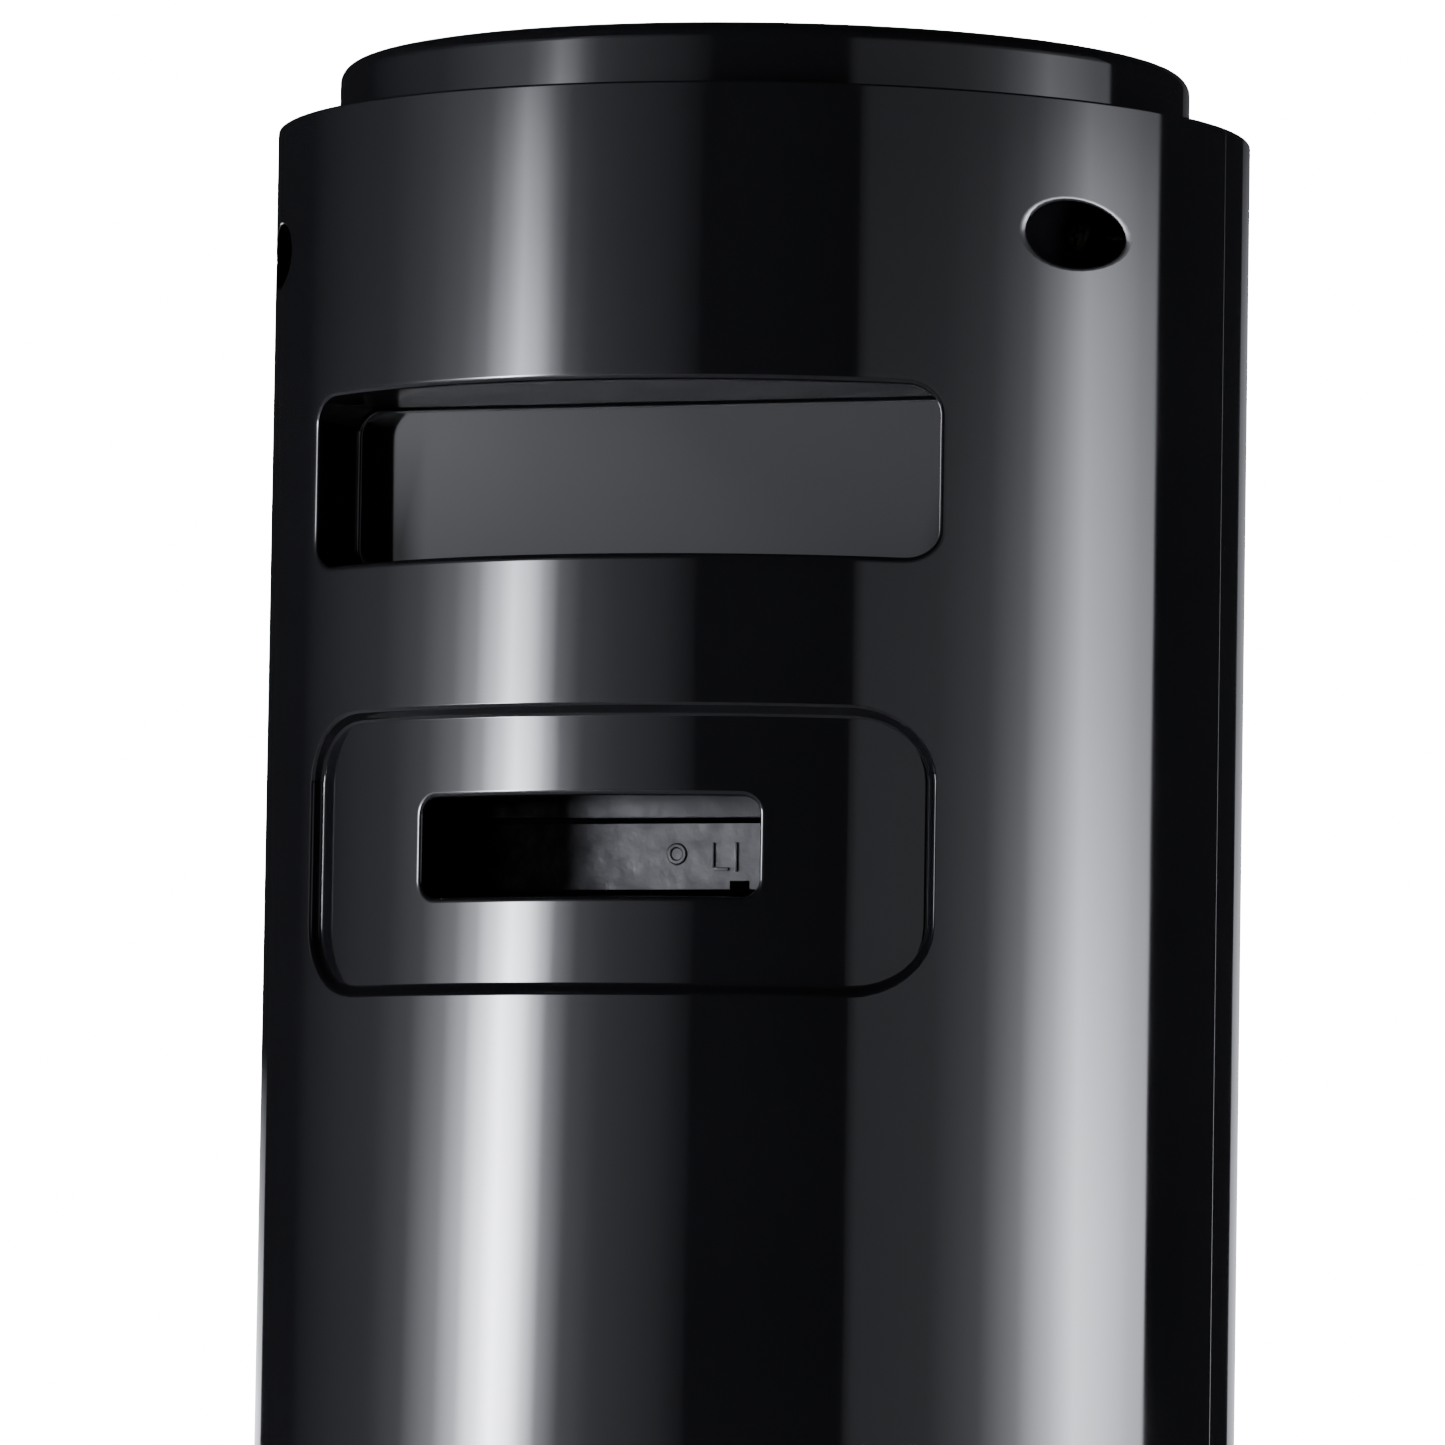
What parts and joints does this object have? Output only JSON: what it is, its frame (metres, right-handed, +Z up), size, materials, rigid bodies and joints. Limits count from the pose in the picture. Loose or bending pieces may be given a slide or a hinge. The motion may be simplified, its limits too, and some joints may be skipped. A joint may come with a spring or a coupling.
{
  "type": "air purifier",
  "caption": "Tall round tower air purifier on a weighted disc base, with a rear carry pocket, a remote slot and a louvred tilt-out filter door.",
  "frame": {"origin": "centre of the base on the floor plane under the rubber feet", "axes": "+Z up along the column, +Y to the rear where the carry pocket and the filter door are, -Y to the front where the outlet is"},
  "size_m": [0.25, 0.25, 0.7123],
  "materials": {
    "black_gloss": "high-gloss moulded ABS",
    "black_matte": "fine-textured moulded ABS",
    "black_satin": "satin moulded ABS",
    "moulded_grey": "unpolished dark grey moulding",
    "cast_iron": "sand cast, unpainted",
    "rubber": "matte",
    "zinc_screw": "zinc plated",
    "black_screw": "black oxide",
    "brass_pin": "nickel-flashed brass",
    "circuit_board": "green solder mask",
    "dark_component": "moulded epoxy",
    "steel_pin": "ground steel",
    "magnet": "nickel plated",
    "filter_card": "white card",
    "filter_media": "pleated glass-fibre paper",
    "foam": "open-cell foam",
    "white_plastic": "moulded",
    "mesh_fabric": "woven nylon mesh",
    "grey_plastic": "glass-filled moulding",
    "motor_steel": "plated pressed steel",
    "bronze": "sintered, oil filled",
    "panel_gloss": "gloss printed panel",
    "smoked_lens": "smoked polycarbonate",
    "button_satin": "satin moulded key",
    "cable_sleeve": "braided sleeve"
  },
  "bodies": {
    "tower": {"base_cover": "black_gloss", "base_plate": "black_matte", "base_weight": "cast_iron", "rubber_feet": "rubber", "base_screws": "zinc_screw", "column_screws": "zinc_screw", "mains_inlet": "black_matte", "inlet_pins": "brass_pin", "power_board": "circuit_board", "power_parts": "dark_component", "rear_shell": "black_gloss", "front_shell": "black_gloss", "shell_screws": "black_screw", "inner_screws": "zinc_screw", "remote_pocket": "moulded_grey", "filter_bay": "black_matte", "hinge_pins": "steel_pin", "catch_plates": "steel_pin", "door_sensor": "dark_component", "scroll_front": "black_matte", "scroll_rear": "black_matte", "inlet_ring": "black_matte", "motor_body": "motor_steel", "motor_bearings": "bronze", "motor_bushes": "rubber", "outlet_duct": "black_matte", "outlet_grille": "black_satin", "top_deck": "black_matte", "top_cap": "black_gloss", "cap_screws": "zinc_screw", "control_overlay": "panel_gloss", "display_window": "smoked_lens", "display_module": "white_plastic", "control_board": "circuit_board", "tact_switches": "dark_component", "wire_harness": "cable_sleeve"},
    "fan_rotor": {"impeller": "grey_plastic", "motor_shaft": "steel_pin"},
    "door": {"filter_door": "black_gloss", "door_magnets": "magnet", "hepa_frame": "filter_card", "hepa_media": "filter_media", "filter_gasket": "foam", "pull_tab": "white_plastic", "prefilter": "mesh_fabric"},
    "light_key": {"light_button": "button_satin"},
    "timer_key": {"timer_button": "button_satin"},
    "power_key": {"power_button": "button_satin"},
    "speed_key": {"speed_button": "button_satin"},
    "reset_key": {"reset_button": "button_satin"}
  },
  "joints": [
    {"name": "fan_spin", "type": "hinge", "parent": "tower", "child": "fan_rotor", "pos_m": [-0.006, 0, 0.476], "axis": [0, 1, 0], "continuous": true},
    {"name": "door_tilt", "type": "hinge", "parent": "tower", "child": "door", "pos_m": [0, 0.0815, 0.0745], "axis": [-1, 0, 0], "range_deg": [0, 20]},
    {"name": "light_press", "type": "slide", "parent": "tower", "child": "light_key", "axis": [0, 0, -1], "range_m": [0, 0.001], "stiffness_N_per_m": 400},
    {"name": "timer_press", "type": "slide", "parent": "tower", "child": "timer_key", "axis": [0, 0, -1], "range_m": [0, 0.001], "stiffness_N_per_m": 400},
    {"name": "power_press", "type": "slide", "parent": "tower", "child": "power_key", "axis": [0, 0, -1], "range_m": [0, 0.001], "stiffness_N_per_m": 400},
    {"name": "speed_press", "type": "slide", "parent": "tower", "child": "speed_key", "axis": [0, 0, -1], "range_m": [0, 0.001], "stiffness_N_per_m": 400},
    {"name": "reset_press", "type": "slide", "parent": "tower", "child": "reset_key", "axis": [0, 0, -1], "range_m": [0, 0.001], "stiffness_N_per_m": 400}
  ]
}
